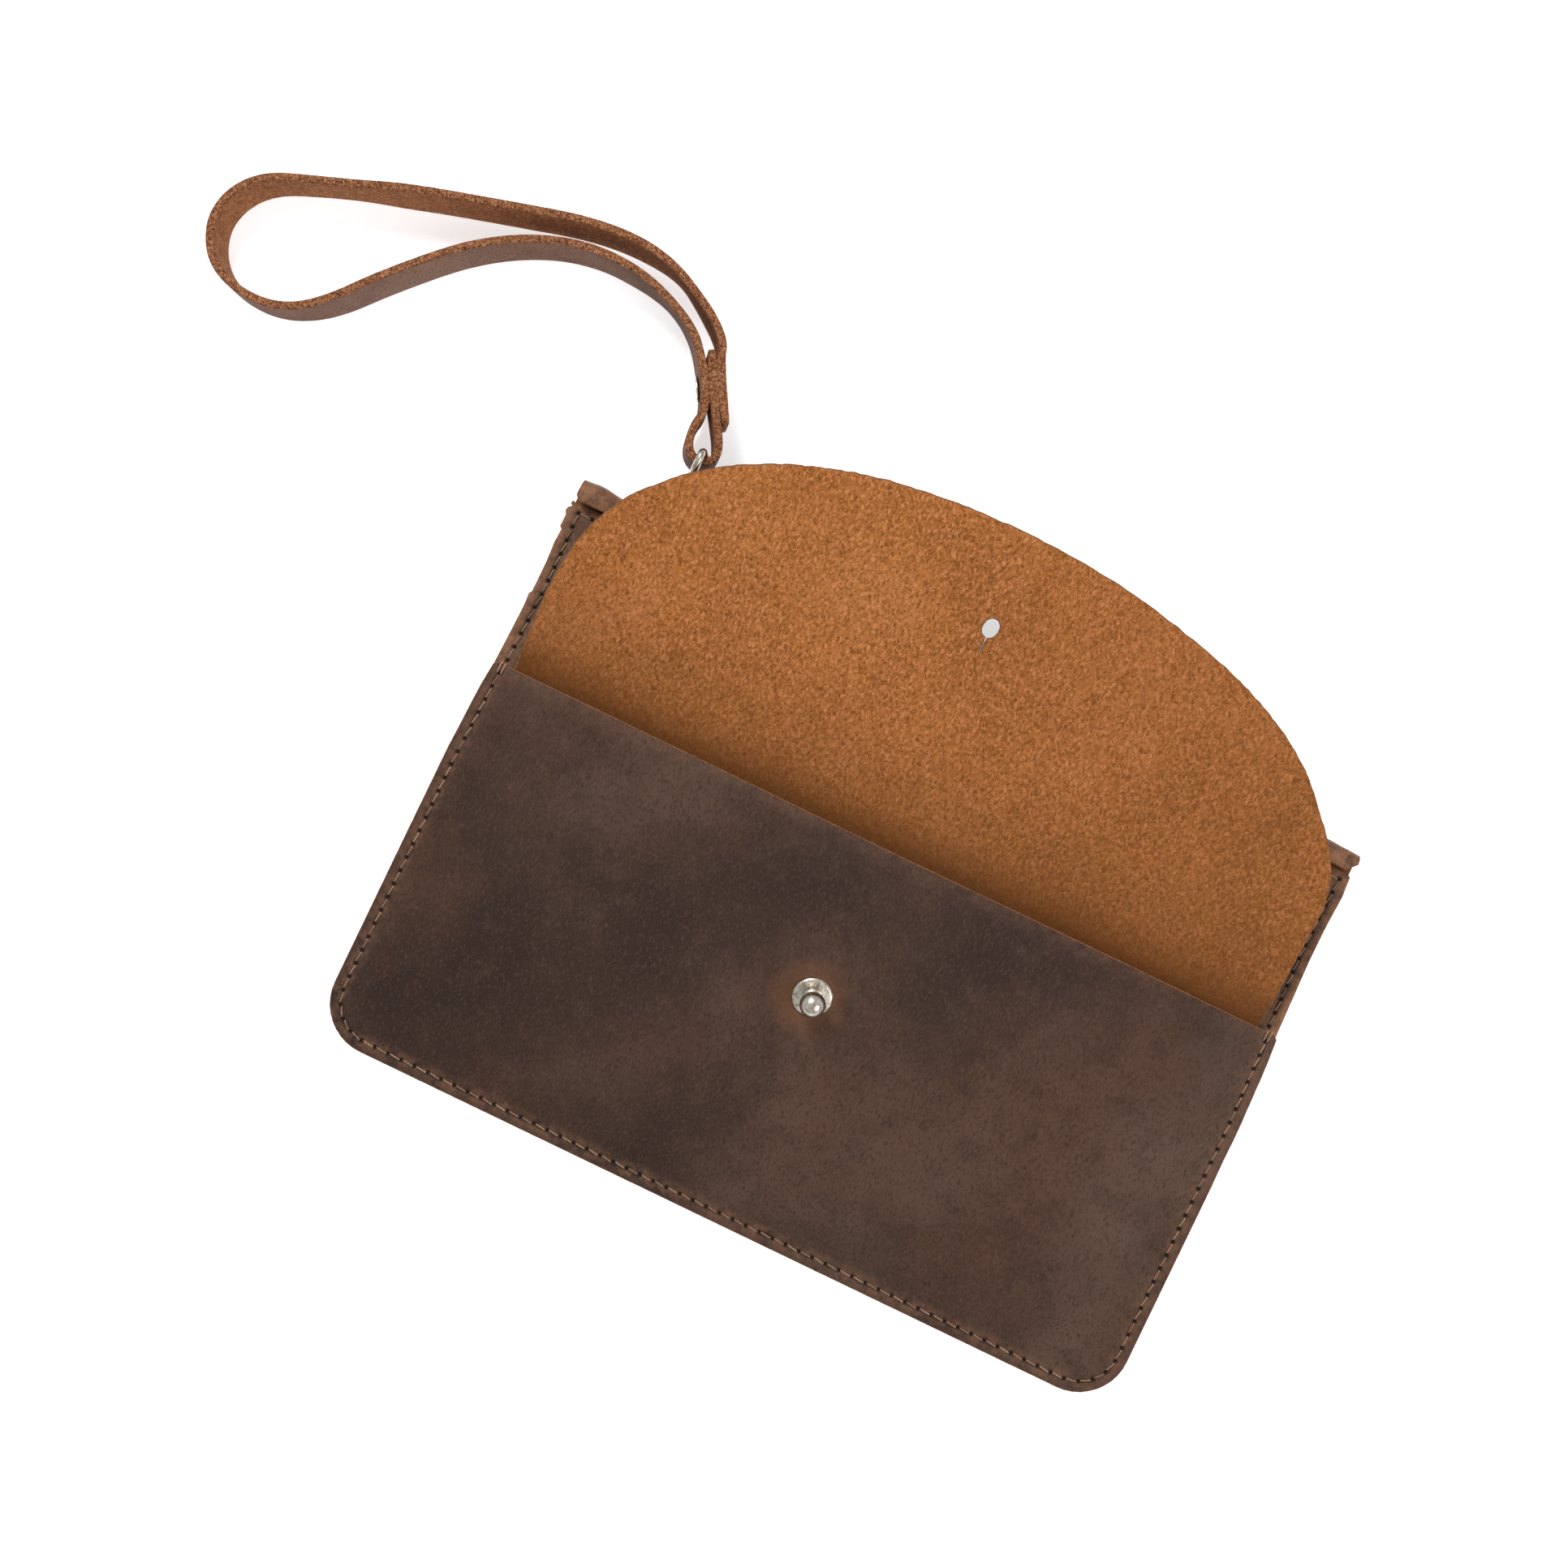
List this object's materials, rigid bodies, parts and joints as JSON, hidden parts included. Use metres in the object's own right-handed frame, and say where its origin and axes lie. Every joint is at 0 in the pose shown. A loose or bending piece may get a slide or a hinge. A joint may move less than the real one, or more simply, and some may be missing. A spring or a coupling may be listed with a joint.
{
  "type": "wristlet wallet",
  "caption": "Leather wristlet wallet lying open: stud-closed flap over a front pocket, zipped pocket behind, and a wrist loop on the zip's pull.",
  "frame": {"origin": "centre of the back panel's outer face, which lies on the table", "axes": "+X along the zip and across the width, +Y from the bottom edge to the turned top, +Z out of the front"},
  "size_m": [0.3128, 0.2037, 0.0243],
  "materials": {
    "front_leather": "waxed pull-up grain, dark brown",
    "back_leather": "waxed pull-up grain, dark brown",
    "pocket_leather": "waxed pull-up grain, dark brown",
    "suede": "raw flesh side above, dark grain below",
    "strap_leather": "oiled, raw edges",
    "nickel": "worn nickel plate",
    "zip_brass": "antique brass",
    "zip_tape": "woven tape",
    "thread": "waxed thread"
  },
  "bodies": {
    "wallet": {"back_panel": "back_leather", "middle_panel": "pocket_leather", "flap_liner": "suede", "front_panel": "front_leather", "stud_head": "nickel", "stud_screw": "nickel", "zipper_tape_upper": "zip_tape", "zipper_tape_lower": "zip_tape", "zipper_teeth_upper": "zip_brass", "zipper_teeth_lower": "zip_brass", "zipper_bottom_stop": "zip_brass", "zipper_top_stops": "zip_brass", "front_seam_thread": "thread", "side_seam_thread": "thread", "corner_lock_thread": "thread", "zipper_seam_thread": "thread"},
    "flap": {"flap": "suede"},
    "slider": {"slider_body": "nickel", "slider_lug": "nickel", "pull_tab": "nickel", "d_ring": "nickel"},
    "strap": {"wrist_strap": "strap_leather", "rivet_post": "nickel", "rivet_cap": "nickel"}
  },
  "joints": [
    {"name": "flap_fold", "type": "hinge", "parent": "wallet", "child": "flap", "pos_m": [0, 0.03415, 0.01259], "axis": [1, 0, 0], "range_deg": [0, 167]},
    {"name": "zip_slide", "type": "slide", "parent": "wallet", "child": "slider", "axis": [1, 0, 0], "range_m": [0, 0.15]},
    {"name": "strap_swing", "type": "hinge", "parent": "slider", "child": "strap", "pos_m": [-0.0795, 0.0903, 0.0091], "axis": [0, 0, 1], "range_deg": [-60, 0]}
  ]
}
